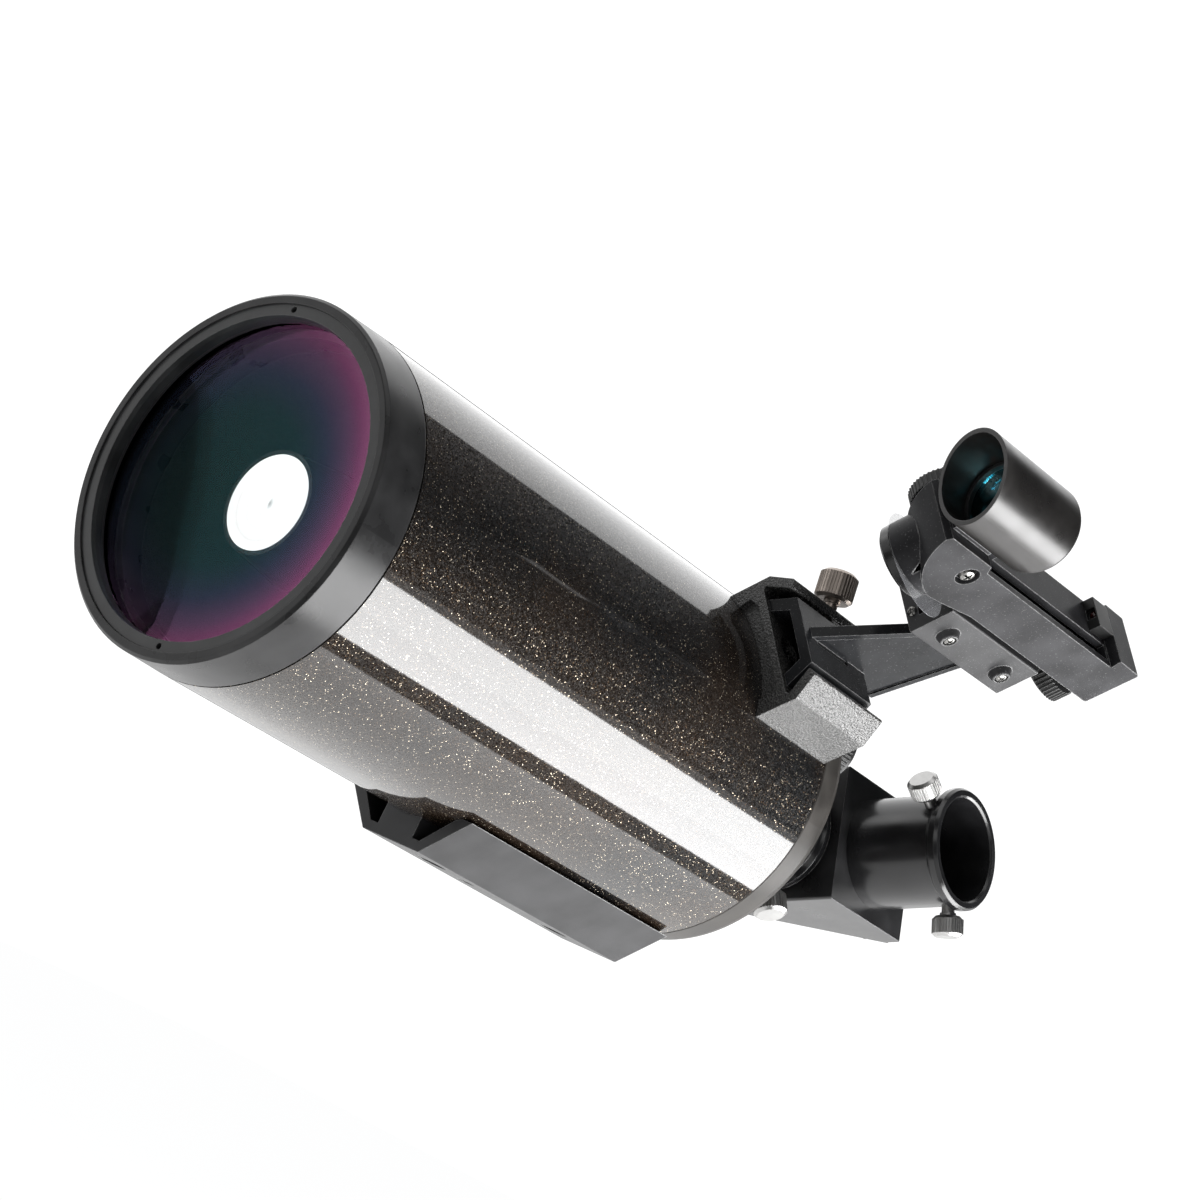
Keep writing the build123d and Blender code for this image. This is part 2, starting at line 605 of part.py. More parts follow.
with BuildPart() as finder_cradle:
    box(pivot, (-finder_half, finder_half), (cradle_front, cradle_rear), (cradle_low, cradle_high))
    fillet(finder_cradle.edges().filter_by(Axis(pivot.origin, pivot.y_dir)), 0.5)
    box(pivot, (-head_half, head_half), (cradle_front + 1.8, cradle_rear - cradle_wall),
        (cradle_low + cradle_floor, 0), mode=Mode.SUBTRACT)
    box(pivot, (1.5 - head_half, head_half - 1.5), (cradle_front - 1, cradle_front + 3),
        (cradle_low + 4, 0), mode=Mode.SUBTRACT)
    slab(shoe, (arm_middle - rim_half, arm_middle + rim_half), *arm_outline(top=101),
         mode=Mode.SUBTRACT)
    for station, level in cradle_screw_points:
        face = facing(pivot, (finder_half, station, level), (1, 0, 0))
        turned(face, (-0.5, 0), (-0.5, boss_radius), (0, boss_radius),
               (boss_height - 0.3, boss_top), (boss_height, boss_top - 0.3), (boss_height, 0))
        extrude(disc(face.offset(boss_height), 2.0), amount=-boss_sink, mode=Mode.SUBTRACT)
        extrude(disc(face.offset(boss_height), cradle_screw_radius),
                amount=-boss_height - cradle_wall - 1, mode=Mode.SUBTRACT)
    small_screw = facing(pivot, (4, cradle_front, cradle_low + 2.1), (0, -1, 0))
    extrude(disc(small_screw, 0.8), amount=-4, mode=Mode.SUBTRACT)
    wheel_hole = facing(pivot, (-finder_half, *azimuth_screw), (1, 0, 0))
    extrude(disc(wheel_hole, azimuth_shaft_radius + running), amount=cradle_wall + 1,
            mode=Mode.SUBTRACT)

with BuildPart() as cradle_screws:
    for station, level in cradle_screw_points:
        pan_screw(facing(pivot, (finder_half + boss_height - boss_sink, station, level),
                         (1, 0, 0)), cradle_screw_radius, 12, 1.9, 1.3)
    pan_screw(small_screw, 0.8, 3, 1.5, 1.0)

with BuildPart() as azimuth_pin:
    turned(swivel, (-22, 0), (-22, azimuth_pin_radius), (-6.4, azimuth_pin_radius),
           (-5.9, azimuth_pin_radius - 0.5), (-5.9, 0))

yoke_low, yoke_high = -11.0, -8.8

with BuildPart() as azimuth_washer:
    turned(swivel, (head_top, azimuth_pin_radius), (head_top, 5.5), (yoke_low - running, 5.5),
           (yoke_low - running, azimuth_pin_radius))

# ----------------------------------------------------------------------------- finder yoke

wheel_station = 75.5
wheel_radius = 10.0
wheel_shaft_radius = 2.0
ear_gap, ear_half = 3.4, 6.0
spring_thickness = 0.4
altitude = facing(pivot, (0, wheel_station, 0), (0, 0, 1))
spring_seat = facing(pivot, (0, 50, yoke_high + spring_thickness), (0, 0, 1))

with BuildPart() as finder_yoke:
    box(pivot, (-6.6, 6.6), (14.0, 82), (yoke_low, yoke_high))
    for ear in ((-ear_half, -ear_gap), (ear_gap, ear_half)):
        slab(pivot, ear, (14.4, yoke_low), (26, yoke_low), (26, -7), (7.5, 1.2), (3.5, 1.95),
             (-2.0, 1.95), (-3.4, 0.5), (-3.0, -2.6), (-1, -4.6), (8.5, -9.3))
    box(pivot, (-2.2, 2.2), (14.0, 18.7), (-20, yoke_low + 0.5))
    extrude(disc(facing(pivot, (-8, *azimuth_screw), (1, 0, 0)), azimuth_shaft_radius + 0.4),
            amount=16, mode=Mode.SUBTRACT)
    extrude(disc(swivel.offset(-12), azimuth_pin_radius + running), amount=5, mode=Mode.SUBTRACT)
    extrude(disc(altitude.offset(-12), wheel_shaft_radius + running), amount=5,
            mode=Mode.SUBTRACT)
    extrude(disc(spring_seat, 1.0), amount=-4, mode=Mode.SUBTRACT)
    extrude(disc(facing(pivot, (-8, 0, 0), (1, 0, 0)), pivot_radius), amount=16,
            mode=Mode.SUBTRACT)

with BuildPart() as azimuth_wheel:
    wheel = facing(pivot, (0, *azimuth_screw), (-1, 0, 0))
    extrude(ribbed(wheel.offset(11.6), 6.5, 30, 0.4, bore=4), amount=4.4)
    turned(wheel, (-3.5, 0), (-3.5, 0.9), (-3.1, azimuth_shaft_radius),
           (10.1, azimuth_shaft_radius), (10.1, 3.2), (11.6, 3.2), (11.6, 5.6), (16.2, 5.6),
           (16.6, 5.2), (16.6, 0))

with BuildPart() as altitude_wheel:
    extrude(ribbed(altitude.offset(-16.9), wheel_radius, 44, 0.42, bore=7), amount=5.0)
    turned(altitude, (-17.4, 0), (-17.4, wheel_radius - 1.2), (-16.9, wheel_radius - 0.6),
           (-11.9, wheel_radius - 0.6), (-11.5, wheel_radius - 1.2), (-11.5, 4),
           (yoke_low - 0.1, 4), (yoke_low - 0.1, wheel_shaft_radius), (0.0, wheel_shaft_radius),
           (0.4, wheel_shaft_radius - 0.4), (0.4, 0))

with BuildPart() as altitude_nut:
    box(pivot, (-8, 8), (wheel_station - 3.8, wheel_station + 3.8), (-4.2, -0.4))
    extrude(disc(altitude.offset(-6), 2.5), amount=8, mode=Mode.SUBTRACT)

with BuildPart() as altitude_leaf_spring:
    level = yoke_high
    slab(pivot, (-3, 3), (46, level), (56, level), (66, -0.6), (68, 0.1), (68, 0.5), (65.8, -0.1),
         (55.8, level + spring_thickness), (46, level + spring_thickness))
    extrude(disc(spring_seat, 1.0), amount=-2, mode=Mode.SUBTRACT)

with BuildPart() as leaf_spring_screw:
    pan_screw(spring_seat, 1.0, 2.4, 1.9, 1.1)

pivot_seats = ((-1, 2.6, 1.6), (1, 1.9, 2.2))     # side, sink below the face, head height

with BuildPart() as pivot_screws:
    for outward, sink, height in pivot_seats:
        pan_screw(facing(pivot, (outward * (finder_half - sink), 0, 0), (outward, 0, 0)),
                  pivot_radius, finder_half - sink - ear_gap, 2.6, height)

# ------------------------------------------------------------------------------ finder body

deck, nose_deck = 4.7, 7.1
body_rear = 86.0
body_wall = 2.0
inner_half = finder_half - body_wall
drum_side, drum_station = -1.2, -4.3
drum_radius, drum_low = 11.1, -13.4
slot = (2.5, 7.8)
dial_station, dial_level, dial_radius = -5.8, 2.4, 10.5
led_side, led_front, led_level = -4.0, 66.0, 6.7
drum = facing(pivot, (drum_side, drum_station, 0), (0, 0, 1))
hood = facing(pivot, (0, 0, hood_lift), (0, 1, 0))
dial = facing(pivot, (0, dial_station, dial_level), (-1, 0, 0))

with BuildPart() as finder_body:
    with BuildSketch(side(pivot, -finder_half)) as body_side:
        with BuildLine():
            Polyline((-19.4, nose_deck), (1.2, nose_deck), (3.1, deck), (75.1, deck),
                     (74.5, 8.4), (body_rear, 8.2), (body_rear, -10.1), (18.7, -9.9),
                     (5.4, -12.1), (-0.4, -12.7))
            ThreePointArc((-0.4, -12.7), (-14.0, -5.6), (-20.4, 5.2))
            Line((-20.4, 5.2), (-19.4, nose_deck))
        make_face()
    extrude(body_side.sketch, amount=2 * finder_half)
    fillet(finder_body.edges().filter_by(Axis(pivot.origin, pivot.x_dir)).filter_by(
        lambda edge: pivot.to_local_coords(edge.center()).Y > body_rear - 0.1), 1.0)
    box(pivot, (-6, 6), (-18, 1), (nose_deck - 1, 9.5))
    box(pivot, (-6, slot[0]), (0, 9), (deck - 0.5, 9.5))
    extrude(disc(drum.offset(drum_low), drum_radius), amount=9)
    extrude(disc(hood.offset(-40), hood_radius), amount=60, mode=Mode.SUBTRACT)
    slab(pivot, (-inner_half, inner_half), (-14.2, -2), (-12.5, deck - 2.4),
         (wheel_station + 1, deck - 2.4), (wheel_station + 1, 6), (body_rear - 2.5, 6),
         (body_rear - 2.5, -14), (12.5, -14), (12.5, -11.2), (-10.5, -11.2), mode=Mode.SUBTRACT)
    extrude(disc(drum.offset(drum_low - 1), 4.2), amount=5, mode=Mode.SUBTRACT)
    slab(pivot, slot, (4.0, 0), (74.2, 0), (74.2, 9), (4.0, 9), mode=Mode.SUBTRACT)
    for outward, sink, _ in pivot_seats:
        face = facing(pivot, (outward * finder_half, 0, 0), (outward, 0, 0))
        extrude(disc(face.offset(-3.8), 2.4), amount=2.6)
        turned(face, (-sink, 0), (-sink, 3.3), (0.1, 3.6), (0.1, 0), mode=Mode.SUBTRACT)
        turned(face, (-3.8, pivot_radius), (-3.8, 5.0), (-sink, 5.0), (-sink, pivot_radius))
        extrude(disc(face, pivot_radius + running), amount=-6, mode=Mode.SUBTRACT)
    extrude(disc(dial.offset(inner_half - 1), 1.8 + running), amount=4, mode=Mode.SUBTRACT)

with BuildPart() as finder_hood:
    turned(hood, (-36, hood_radius - 1.3), (-36, hood_radius), (9.3, hood_radius),
           (10.2, hood_radius - 0.4), (10.5, hood_radius - 1.3))
    slab(pivot, (-20, 20), (-40, 0), (-19.94, 0), (-34.06, 40), (-40, 40), mode=Mode.SUBTRACT)

lens_half = hood_radius - 1.3

lens_curve = 80.0

with BuildPart() as finder_window:
    with BuildSketch(Plane(origin=hood.origin, x_dir=hood.z_dir, z_dir=hood.y_dir)) as lens_side:
        with BuildLine():
            arcs = [[(vertex + sag(lens_curve, radius), radius)
                     for radius in (0, lens_half / 2, lens_half)] for vertex in (-9.5, -7.3)]
            ThreePointArc(*arcs[0])
            Line(arcs[0][-1], arcs[1][-1])
            ThreePointArc(*arcs[1])
            Line(arcs[1][0], arcs[0][0])
        make_face()
    revolve(lens_side.sketch, axis=Axis(hood.origin, hood.z_dir))

with BuildPart() as window_ring:
    turned(hood, (-10.6, lens_half - 1.0), (-10.6, lens_half), (-8.75, lens_half),
           (-8.75, lens_half - 1.0))

with BuildPart() as battery_tab:
    with BuildSketch(facing(pivot, (0, -2.2, drum_low - 0.15), (0, 0, 1))) as tab:
        Ellipse(16.5, 12.8)
    extrude(tab.sketch, amount=0.15)

cover_top = drum_low - 0.15
cover_bottom = -17.0

with BuildPart() as battery_cover:
    turned(drum, (cover_bottom, 0), (cover_bottom, drum_radius - 1.0),
           (cover_bottom + 0.8, drum_radius), (cover_top, drum_radius),
           (cover_top, drum_radius - 1.0), (cover_bottom + 0.9, drum_radius - 1.0),
           (cover_bottom + 0.9, 0))
    extrude(block(drum.offset(cover_bottom), (-7, 7), (-0.7, 0.7)), amount=0.5,
            mode=Mode.SUBTRACT)

with BuildPart() as coin_cell:
    turned(drum, (cover_bottom + 0.9, 0), (cover_bottom + 0.9, 9.4), (cover_bottom + 1.2, 9.9),
           (cover_top - 0.8, 9.9), (cover_top - 0.8, 8.8), (cover_top, 8.4), (cover_top, 0))

with BuildPart() as battery_contact:
    turned(drum, (drum_low, 0), (drum_low, 4.2), (drum_low + 0.5, 4.2), (drum_low + 0.5, 1.2),
           (-9.9, 1.2), (-9.9, 0))

with BuildPart() as brightness_dial:
    extrude(ribbed(dial.offset(12.6), dial_radius, 46, 0.42, bore=8), amount=3.4)
    turned(dial, (inner_half, 0), (inner_half, 1.8), (finder_half + 0.1, 1.8),
           (finder_half + 0.1, 4), (12.4, 4), (12.4, dial_radius - 1.4),
           (12.8, dial_radius - 0.7), (15.8, dial_radius - 0.7), (16.4, dial_radius - 1.5),
           (16.4, 0))

with BuildPart() as circuit_board:
    box(pivot, (-inner_half, 1 - inner_half), (-11.4, -5.6), (-7.4, 2.2))

with BuildPart() as led_block:
    box(pivot, (-9, 1), (led_front, 74.4), (deck, 8.4))
    box(pivot, (led_side - 1.7, led_side + 1.7), (led_front - 0.1, led_front + 1.6), (5.1, 8.0),
        mode=Mode.SUBTRACT)
    emitter = facing(pivot, (led_side, led_front, led_level), (0, -1, 0))
    extrude(disc(emitter, 1.3), amount=-4, mode=Mode.SUBTRACT)

with BuildPart() as led_emitter:
    turned(emitter, (-4, 0), (-4, 1.3), (-1.6, 1.3), (-0.9, 0.9), (-0.55, 0.4), (-0.5, 0))

pieces = {
    "main_tube": main_tube, "front_cell": front_cell, "lens_retaining_ring": lens_retaining_ring,
    "lens_seal": lens_seal, "meniscus_corrector": meniscus_corrector,
    "secondary_spot": secondary_spot, "secondary_baffle": secondary_baffle,
    "primary_mirror": primary_mirror, "mirror_carrier": mirror_carrier,
    "mirror_retaining_nut": mirror_retaining_nut, "primary_baffle_tube": primary_baffle_tube,
    "focus_nut": focus_nut, "focus_bush": focus_bush, "focus_washer": focus_washer,
    "focus_screw": focus_screw, "focus_knob": focus_knob, "focus_knob_screw": focus_knob_screw,
    "baffle_screws": baffle_screws, "rear_cell": rear_cell, "visual_back": visual_back,
    "visual_back_thumbscrew": visual_back_thumbscrew, "diagonal_housing": diagonal_housing,
    "diagonal_cover": diagonal_cover, "diagonal_mirror": diagonal_mirror,
    "diagonal_cover_screws": diagonal_cover_screws, "diagonal_nosepiece": diagonal_nosepiece,
    "eyepiece_holder": eyepiece_holder, **eyepiece_thumbscrews,
    "dovetail_block": dovetail_block, "dovetail_screws": dovetail_screws,
    "mounting_nuts": mounting_nuts, "finder_shoe": finder_shoe, "shoe_screws": shoe_screws,
    "shoe_thumbscrew": shoe_thumbscrew, "finder_bracket": finder_bracket,
    "finder_cradle": finder_cradle, "cradle_screws": cradle_screws, "azimuth_pin": azimuth_pin,
    "azimuth_washer": azimuth_washer, "finder_yoke": finder_yoke,
    "azimuth_wheel": azimuth_wheel, "altitude_wheel": altitude_wheel,
    "altitude_nut": altitude_nut, "altitude_leaf_spring": altitude_leaf_spring,
    "leaf_spring_screw": leaf_spring_screw, "pivot_screws": pivot_screws,
    "finder_body": finder_body, "finder_hood": finder_hood, "finder_window": finder_window,
    "window_ring": window_ring, "battery_tab": battery_tab, "battery_cover": battery_cover,
    "coin_cell": coin_cell, "battery_contact": battery_contact,
    "brightness_dial": brightness_dial, "circuit_board": circuit_board, "led_block": led_block,
    "led_emitter": led_emitter,
}
os.makedirs("parts", exist_ok=True)
for name, piece in pieces.items():
    piece.part.label = name
    export_step(piece.part, f"parts/{name}.step")
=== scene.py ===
from math import cos, pi, radians, sin, tan

import bpy
from mathutils import Matrix, Vector

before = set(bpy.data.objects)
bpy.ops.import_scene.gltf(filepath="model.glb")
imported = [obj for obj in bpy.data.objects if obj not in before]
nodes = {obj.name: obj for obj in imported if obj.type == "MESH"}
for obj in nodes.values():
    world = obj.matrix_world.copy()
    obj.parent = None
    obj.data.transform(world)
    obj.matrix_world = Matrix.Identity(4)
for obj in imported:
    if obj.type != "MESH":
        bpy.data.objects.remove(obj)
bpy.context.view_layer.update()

AXIS_HEIGHT = 0.0605            # the optical axis above the origin
LENS_FRONT_Y = -0.155           # about where the corrector's front lies along the axis
TUBE_BORE = 0.0512              # beyond this radius, the tube's surface is its painted outside
FLOOR = -0.42
WHITE = (1.0, 1.0, 1.0)


# ------------------------------------------------------------------------------- shader kit

class Shader:
    """A material's node tree, with short calls for the nodes that this scene uses."""

    def __init__(self, name):
        self.material = bpy.data.materials.new(name)
        self.material.use_nodes = True
        self.tree = self.material.node_tree
        self.tree.nodes.clear()
        self.output = self.tree.nodes.new("ShaderNodeOutputMaterial")
        self.place = self.add("ShaderNodeTexCoord").outputs["Object"]

    def add(self, kind, **settings):
        node = self.tree.nodes.new(kind)
        for key, value in settings.items():
            setattr(node, key, value)
        return node

    def plug(self, socket, value):
        """A link where the value comes from a node, else the socket's own value."""
        if isinstance(value, bpy.types.NodeSocket):
            self.tree.links.new(value, socket)
        elif hasattr(socket.default_value, "__len__") and not hasattr(value, "__len__"):
            socket.default_value = [value] * 3
        elif hasattr(value, "__len__") and len(socket.default_value) == 4 and len(value) == 3:
            socket.default_value = (*value, 1.0)
        else:
            socket.default_value = value

    def math(self, operation, a, b=0.0):
        node = self.add("ShaderNodeMath", operation=operation)
        self.plug(node.inputs[0], a)
        self.plug(node.inputs[1], b)
        return node.outputs[0]

    def noise(self, scale, detail=2.0, roughness=0.5):
        node = self.add("ShaderNodeTexNoise")
        self.plug(node.inputs["Vector"], self.place)
        node.inputs["Scale"].default_value = scale
        node.inputs["Detail"].default_value = detail
        node.inputs["Roughness"].default_value = roughness
        return node.outputs["Fac"]

    def cells(self, scale, output="Color", feature="F1"):
        node = self.add("ShaderNodeTexVoronoi", feature=feature)
        self.plug(node.inputs["Vector"], self.place)
        node.inputs["Scale"].default_value = scale
        return node.outputs[output]

    def ramp(self, value, *stops):
        """Colour ramp from (position, colour or grey) stops."""
        node = self.add("ShaderNodeValToRGB")
        elements = node.color_ramp.elements
        while len(elements) < len(stops):
            elements.new(0.5)
        for element, (position, colour) in zip(elements, stops):
            element.position = position
            grey = colour if hasattr(colour, "__len__") else [colour] * 3
            element.color = (*grey, 1.0)
        self.plug(node.inputs["Fac"], value)
        return node.outputs["Color"]

    def blend(self, factor, a, b):
        node = self.add("ShaderNodeMix", data_type="RGBA")
        self.plug(node.inputs["Factor"], factor)
        self.plug(node.inputs["A"], a)
        self.plug(node.inputs["B"], b)
        return node.outputs["Result"]

    def bump(self, height, distance, strength=1.0, normal=None):
        node = self.add("ShaderNodeBump")
        node.inputs["Distance"].default_value = distance
        node.inputs["Strength"].default_value = strength
        self.plug(node.inputs["Height"], height)
        if normal is not None:
            self.plug(node.inputs["Normal"], normal)
        return node.outputs["Normal"]

    def soft_edge(self, radius):
        """Normal of the surface with its edges rounded by a radius."""
        node = self.add("ShaderNodeBevel", samples=4)
        node.inputs["Radius"].default_value = radius
        return node.outputs["Normal"]

    def edge_mask(self, radius):
        """1 along the edges that a radius rounds, 0 on flat faces."""
        product = self.add("ShaderNodeVectorMath", operation="DOT_PRODUCT")
        self.plug(product.inputs[0], self.soft_edge(radius))
        self.plug(product.inputs[1], self.add("ShaderNodeNewGeometry").outputs["Normal"])
        return self.ramp(product.outputs["Value"], (0.80, 1.0), (0.985, 0.0))

    def axial(self, x=0.0):
        """Distance from the optical axis, or from a line beside it at x, in metres."""
        parts = self.add("ShaderNodeSeparateXYZ")
        self.plug(parts.inputs[0], self.place)
        up = self.math("SUBTRACT", parts.outputs["Z"], AXIS_HEIGHT)
        across = self.math("SUBTRACT", parts.outputs["X"], x)
        squares = self.math("ADD", self.math("MULTIPLY", across, across),
                            self.math("MULTIPLY", up, up))
        return self.math("SQRT", squares)

    def coated(self, kind, colour, sheen, roughness, share):
        """Mix of a see-through shader of a kind and colour, and a mirroring coat."""
        through = self.add(kind)
        self.plug(through.inputs["Color"], colour)
        mirrored = self.add("ShaderNodeBsdfAnisotropic")
        mirrored.inputs["Roughness"].default_value = roughness
        self.plug(mirrored.inputs["Color"], sheen)
        mix = self.add("ShaderNodeMixShader")
        self.plug(mix.inputs["Fac"], share)
        self.tree.links.new(through.outputs[0], mix.inputs[1])
        self.tree.links.new(mirrored.outputs[0], mix.inputs[2])
        self.tree.links.new(mix.outputs[0], self.output.inputs["Surface"])
        return through

    def principled(self, **sockets):
        node = self.add("ShaderNodeBsdfPrincipled")
        for key, value in sockets.items():
            self.plug(node.inputs[key.replace("_", " ")], value)
        self.tree.links.new(node.outputs[0], self.output.inputs["Surface"])
        return node


def plastic(name, colour, roughness, grain=0.25e-3, depth=0.012e-3, edge=0.35e-3, edge_highlight_paint=0.05,
            specular=0.5, dust=0.0):
    """Moulded plastic or paint: fine grain, uneven gloss, a painted highlight along the rounded
    edges and pale dust.
    """
    s = Shader(name)
    blotch = s.noise(90, 3)
    tint = [c * 1.5 + 0.002 for c in colour]
    base = s.blend(s.ramp(blotch, (0.35, 0.0), (0.7, 1.0)), [c * 0.8 for c in colour], tint)
    # Painted highlight: the rounded edges get a lighter colour, broken up by noise, that stands
    # in for the light caught along them.
    edge_band = s.edge_mask(edge)
    painted_edge_highlight = s.math("MULTIPLY", edge_band, s.ramp(s.noise(700, 2), (0.3, 0.3), (0.6, 1.0)))
    base = s.blend(painted_edge_highlight, base, [c + edge_highlight_paint for c in colour])
    if dust:
        speck = s.math("GREATER_THAN", s.noise(1900, 1), 0.70)
        base = s.blend(speck, base, [c + dust for c in colour])
    fine = s.noise(1 / grain, 2)
    gloss = s.ramp(blotch, (0.3, max(roughness - 0.05, 0.02)), (0.75, roughness + 0.07))
    normal = s.bump(fine, depth, 0.6, s.soft_edge(edge))
    s.principled(Base_Color=base, Roughness=gloss, Normal=normal, Specular_IOR_Level=specular)
    return s.material


def metal(name, colour, roughness):
    """Bare or plated metal with fine marks and faint smudges."""
    s = Shader(name)
    marks = s.noise(900, 3)
    smudge = s.noise(140, 3)
    base = s.blend(s.ramp(smudge, (0.35, 0.0), (0.75, 1.0)), colour, [c * 0.85 for c in colour])
    gloss = s.ramp(marks, (0.3, max(roughness - 0.06, 0.03)), (0.7, roughness + 0.08))
    s.principled(Base_Color=base, Metallic=1.0, Roughness=gloss,
                 Normal=s.bump(marks, 0.004e-3, 0.5, s.soft_edge(0.25e-3)))
    return s.material


# -------------------------------------------------------------------------------- materials

def tube_paint():
    """Black gloss enamel with fine gold and brown metallic flake, and a flat grey bore."""
    s = Shader("tube_paint")
    flakes_per_metre = 3500
    random = s.cells(flakes_per_metre)
    parts = s.add("ShaderNodeSeparateColor")
    s.plug(parts.inputs[0], random)
    near = s.math("LESS_THAN", s.cells(flakes_per_metre, "Distance"), 0.43)
    outside = s.math("GREATER_THAN", s.axial(), TUBE_BORE)
    near = s.math("MULTIPLY", near, outside)
    flake = s.math("MULTIPLY", s.math("GREATER_THAN", parts.outputs["Red"], 0.84), near)
    glint = s.math("MULTIPLY", s.math("GREATER_THAN", parts.outputs["Red"], 0.972), near)
    hue = s.ramp(parts.outputs["Green"],
                 (0.0, (0.022, 0.010, 0.004)), (0.45, (0.055, 0.031, 0.014)),
                 (0.8, (0.100, 0.082, 0.060)), (1.0, (0.036, 0.040, 0.046)))
    patch = s.ramp(s.noise(17, 3), (0.38, 0.0), (0.62, 1.0))
    base = s.blend(patch, (0.0040, 0.0040, 0.0042), (0.0110, 0.0068, 0.0042))
    base = s.blend(flake, base, hue)
    base = s.blend(glint, base, (0.66, 0.57, 0.44))
    base = s.blend(outside, (0.050, 0.056, 0.054), base)
    tilt = s.add("ShaderNodeVectorMath", operation="SUBTRACT")
    s.plug(tilt.inputs[0], random)
    tilt.inputs[1].default_value = (0.5, 0.5, 0.5)
    lean = s.add("ShaderNodeVectorMath", operation="SCALE")
    s.plug(lean.inputs[0], tilt.outputs[0])
    lean.inputs["Scale"].default_value = 0.9
    lifted = s.add("ShaderNodeVectorMath", operation="ADD")
    s.plug(lifted.inputs[0], lean.outputs[0])
    s.plug(lifted.inputs[1], s.add("ShaderNodeNewGeometry").outputs["Normal"])
    facet = s.add("ShaderNodeVectorMath", operation="NORMALIZE")
    s.plug(facet.inputs[0], lifted.outputs[0])
    peel = s.bump(s.noise(1500, 3), 0.010e-3, 0.35)
    s.principled(Base_Color=base, Metallic=s.math("MULTIPLY", flake, 0.85), Roughness=0.45,
                 Normal=facet.outputs[0], Specular_IOR_Level=0.05,
                 Coat_Weight=outside, Coat_Roughness=0.05, Coat_IOR=1.40, Coat_Normal=peel)
    return s.material


def wrinkle_paint():
    """Cast metal under thick black wrinkle paint, with painted shade in the wrinkles' hollows and
    painted highlight on their crests.
    """
    s = Shader("wrinkle_paint")
    lumps = s.cells(1500, "Distance", "SMOOTH_F1")
    ridge = s.noise(2100, 3, 0.6)
    height = s.math("ADD", s.math("MULTIPLY", lumps, 0.7), ridge)
    # Painted shade and highlight: the colour follows the ridge noise of the bump, dark in the
    # hollows and light on the crests.
    base = s.blend(s.ramp(ridge, (0.42, 0.0), (0.62, 1.0)), (0.008, 0.008, 0.008),
                   (0.050, 0.049, 0.047))
    s.principled(Base_Color=base, Roughness=0.25, Specular_IOR_Level=0.62,
                 Normal=s.bump(height, 0.27e-3, 0.9, s.soft_edge(0.5e-3)))
    return s.material


def corrector_coating():
    """Clear glass with a coating that turns from teal in the middle to magenta at the rim."""
    s = Shader("corrector_coating")
    centre_x, rim = -0.012, 0.0510      # the colours' centre lies beside the optical axis
    tint = s.ramp(s.math("DIVIDE", s.axial(centre_x), rim),
                  (0.0, (0.070, 0.205, 0.215)), (0.45, (0.075, 0.200, 0.230)),
                  (0.64, (0.150, 0.190, 0.330)), (0.80, (0.40, 0.23, 0.44)),
                  (0.91, (0.74, 0.22, 0.52)), (1.0, (1.0, 0.36, 0.72)))
    fresnel = s.add("ShaderNodeFresnel")
    fresnel.inputs["IOR"].default_value = 1.50
    glass = s.coated("ShaderNodeBsdfRefraction", (0.985, 0.99, 0.988), tint, 0.01,
                     fresnel.outputs[0])
    glass.inputs["Roughness"].default_value = 0.0
    glass.inputs["IOR"].default_value = 1.517
    return s.material


def window_glass_painted_reflections():
    """Dark tinted glass whose coating mirrors cyan, with painted reflections: noise patches of
    white, bright cyan and red.
    """
    s = Shader("window_glass_painted_reflections")
    # Painted reflection: noise decides where the coat mirrors dark, bright cyan, white or red,
    # standing in for reflected soft boxes.
    tint = s.ramp(s.noise(95, 1.5),
                  (0.40, (0.008, 0.018, 0.020)), (0.46, (0.10, 0.62, 0.75)),
                  (0.52, (0.80, 0.99, 1.0)), (0.56, (0.10, 0.45, 0.55)),
                  (0.61, (0.01, 0.02, 0.02)), (0.66, (0.65, 0.12, 0.05)))
    s.coated("ShaderNodeBsdfTransparent", (0.45, 0.62, 0.64), tint, 0.03, 0.60)
    return s.material


def polished_mirror():
    """Silvered glass with a slight haze."""
    s = Shader("polished_mirror")
    haze = s.ramp(s.noise(80, 3), (0.3, 0.015), (0.8, 0.05))
    s.principled(Base_Color=(0.93, 0.94, 0.95), Metallic=1.0, Roughness=haze)
    return s.material


def frosted_mirror():
    """Soft silvering, helped by a weak glow so that it reads as white."""
    s = Shader("frosted_mirror")
    s.principled(Base_Color=s.blend(s.noise(300), (0.96, 0.96, 0.96), (0.99, 0.99, 0.99)),
                 Metallic=1.0, Roughness=0.3, Emission_Color=WHITE,
                 Emission_Strength=0.15)
    return s.material


def clear_sheet():
    """Thin scuffed plastic."""
    s = Shader("clear_sheet")
    scuff = s.ramp(s.noise(500, 3), (0.3, 0.10), (0.8, 0.30))
    s.principled(Base_Color=(0.66, 0.67, 0.70), Roughness=scuff, IOR=1.3, Alpha=0.20)
    return s.material


def circuit_green():
    """Green circuit board with small bright pads."""
    s = Shader("circuit_green")
    track = s.cells(900, "Distance")
    base = s.blend(s.math("LESS_THAN", track, 0.18), (0.01, 0.12, 0.04), (0.35, 0.28, 0.12))
    s.principled(Base_Color=base, Roughness=0.35, Normal=s.bump(track, 0.02e-3))
    return s.material


def clear_red():
    """Unlit lens of the red LED."""
    s = Shader("clear_red")
    base = s.blend(s.noise(900), (0.030, 0.002, 0.002), (0.050, 0.004, 0.003))
    s.principled(Base_Color=base, Roughness=0.08, Transmission_Weight=0.4)
    return s.material


def rubber():
    """Matt black rubber."""
    s = Shader("rubber")
    base = s.blend(s.noise(900, 3), (0.008, 0.008, 0.008), (0.02, 0.02, 0.02))
    s.principled(Base_Color=base, Roughness=0.6, Normal=s.bump(s.noise(3000), 0.02e-3))
    return s.material


